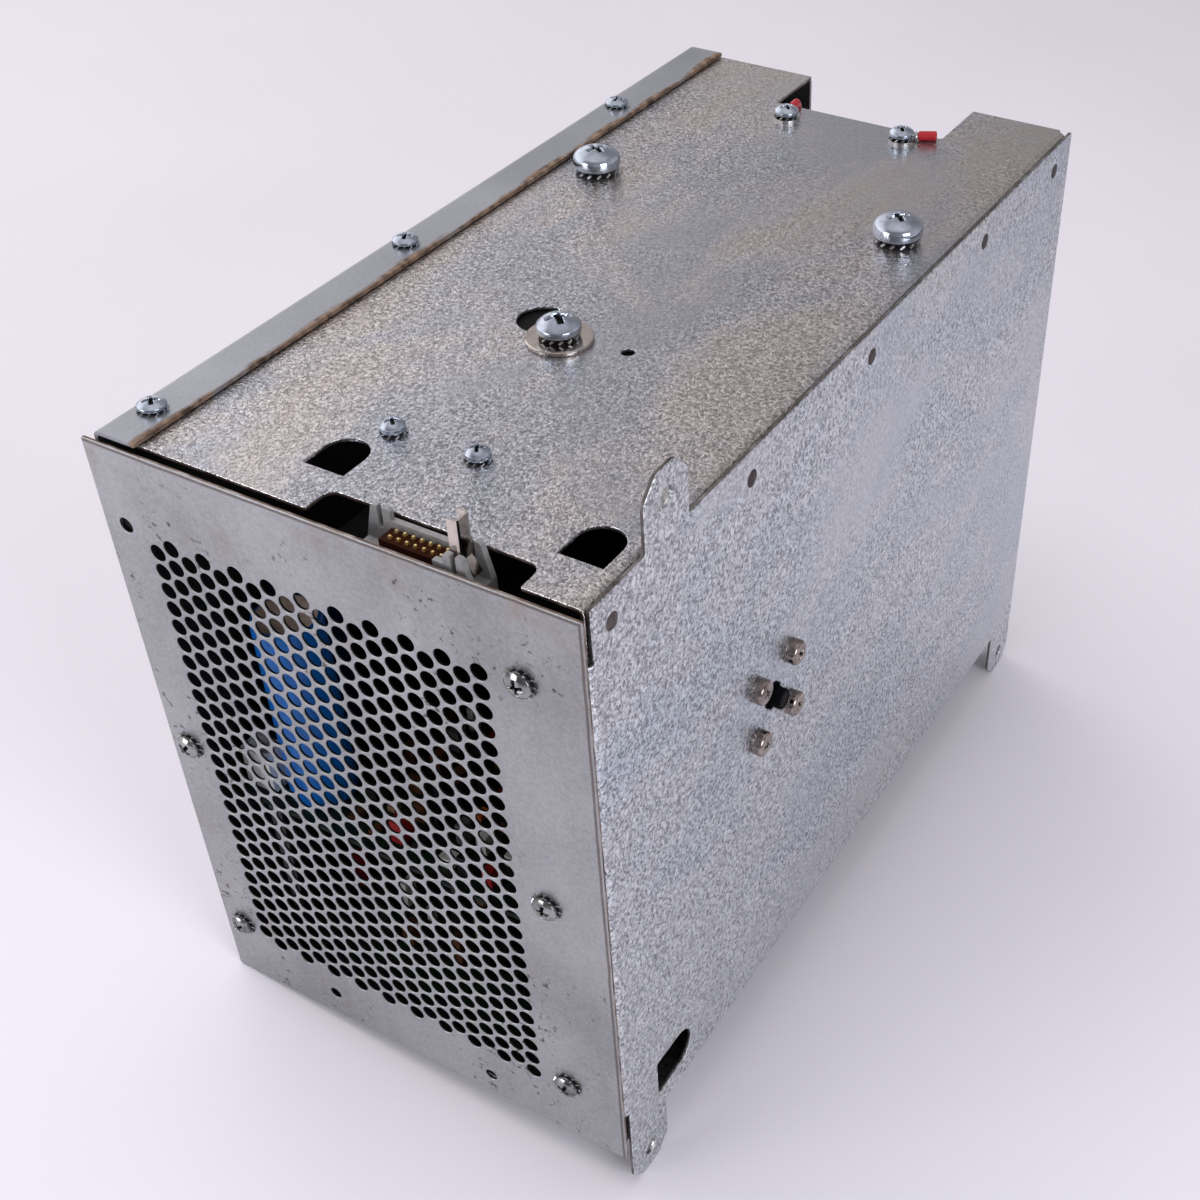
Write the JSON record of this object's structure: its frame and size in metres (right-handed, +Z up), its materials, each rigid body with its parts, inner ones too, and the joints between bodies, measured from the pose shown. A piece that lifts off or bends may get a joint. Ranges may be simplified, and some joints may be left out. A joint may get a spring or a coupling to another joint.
{
  "type": "servo drive",
  "caption": "Sheet-metal servo drive chassis with a perforated front panel, mounting ears, a screwed side cover and a latched pin header in its top front edge.",
  "frame": {"origin": "middle of the part's outline, on the level of the lower ears' tips", "axes": "+X towards the mounting side, +Y from the perforated front to the rear, +Z up"},
  "size_m": [0.1578, 0.2992, 0.249],
  "materials": {
    "galvanised_sheet": "galvanised, spangled, dull",
    "satin_zinc_sheet": "satin zinc, stained at the edges",
    "zinc_plated_steel": "bright zinc plate",
    "nickel_plated_steel": "bright nickel plate",
    "aluminium": "plain mill finish",
    "grey_plastic": "moulded, matt",
    "brown_plastic": "moulded, dark",
    "red_sleeved_terminal": "red vinyl sleeve on a tinned tag",
    "white_nylon": "moulded nylon",
    "blue_sleeve": "shrunk sleeve",
    "black_plastic": "moulded, matt",
    "green_laminate": "solder resist",
    "enamelled_copper": "varnished copper wire",
    "core_iron": "dull laminations"
  },
  "bodies": {
    "chassis": {"board_spacer_1": "aluminium", "board_spacer_2": "aluminium", "bolt_washer": "nickel_plated_steel", "bottom_plate": "galvanised_sheet", "bracket_screw_1": "zinc_plated_steel", "bracket_screw_2": "zinc_plated_steel", "bus_capacitor_1": "blue_sleeve", "bus_capacitor_2": "blue_sleeve", "capacitor_1": "blue_sleeve", "capacitor_2": "blue_sleeve", "choke_core": "core_iron", "choke_winding": "enamelled_copper", "control_board": "green_laminate", "control_standoff_1": "aluminium", "control_standoff_2": "aluminium", "control_standoff_3": "aluminium", "control_standoff_4": "aluminium", "cover_screw_top_1": "zinc_plated_steel", "cover_screw_top_2": "zinc_plated_steel", "cover_screw_top_3": "zinc_plated_steel", "cover_screw_under_1": "zinc_plated_steel", "cover_screw_under_2": "zinc_plated_steel", "cover_screw_under_3": "zinc_plated_steel", "earth_screw_1": "zinc_plated_steel", "earth_screw_2": "zinc_plated_steel", "earth_tag_1": "red_sleeved_terminal", "earth_tag_2": "red_sleeved_terminal", "front_grille": "satin_zinc_sheet", "front_screw_1": "zinc_plated_steel", "front_screw_2": "zinc_plated_steel", "front_screw_3": "zinc_plated_steel", "front_screw_4": "zinc_plated_steel", "front_screw_5": "zinc_plated_steel", "header_board": "green_laminate", "header_pins": "brown_plastic", "header_shroud": "grey_plastic", "heat_sink": "aluminium", "left_cover": "satin_zinc_sheet", "power_board": "green_laminate", "power_standoff_1": "aluminium", "power_standoff_2": "aluminium", "power_standoff_3": "aluminium", "power_standoff_4": "aluminium", "rear_panel": "galvanised_sheet", "side_module": "black_plastic", "side_panel": "galvanised_sheet", "side_screw_1": "nickel_plated_steel", "side_screw_2": "nickel_plated_steel", "side_screw_3": "nickel_plated_steel", "side_screw_4": "nickel_plated_steel", "terminal_block": "black_plastic", "top_bolt_1": "zinc_plated_steel", "top_bolt_2": "zinc_plated_steel", "top_bolt_3": "zinc_plated_steel", "top_plate": "galvanised_sheet", "white_connector": "white_nylon"},
    "latch": {"header_latch": "nickel_plated_steel"}
  },
  "joints": [
    {"name": "latch_pivot", "type": "hinge", "parent": "chassis", "child": "latch", "pos_m": [0.0375, -0.13935, 0.2264], "axis": [0, 1, 0], "range_deg": [0, 40]}
  ]
}
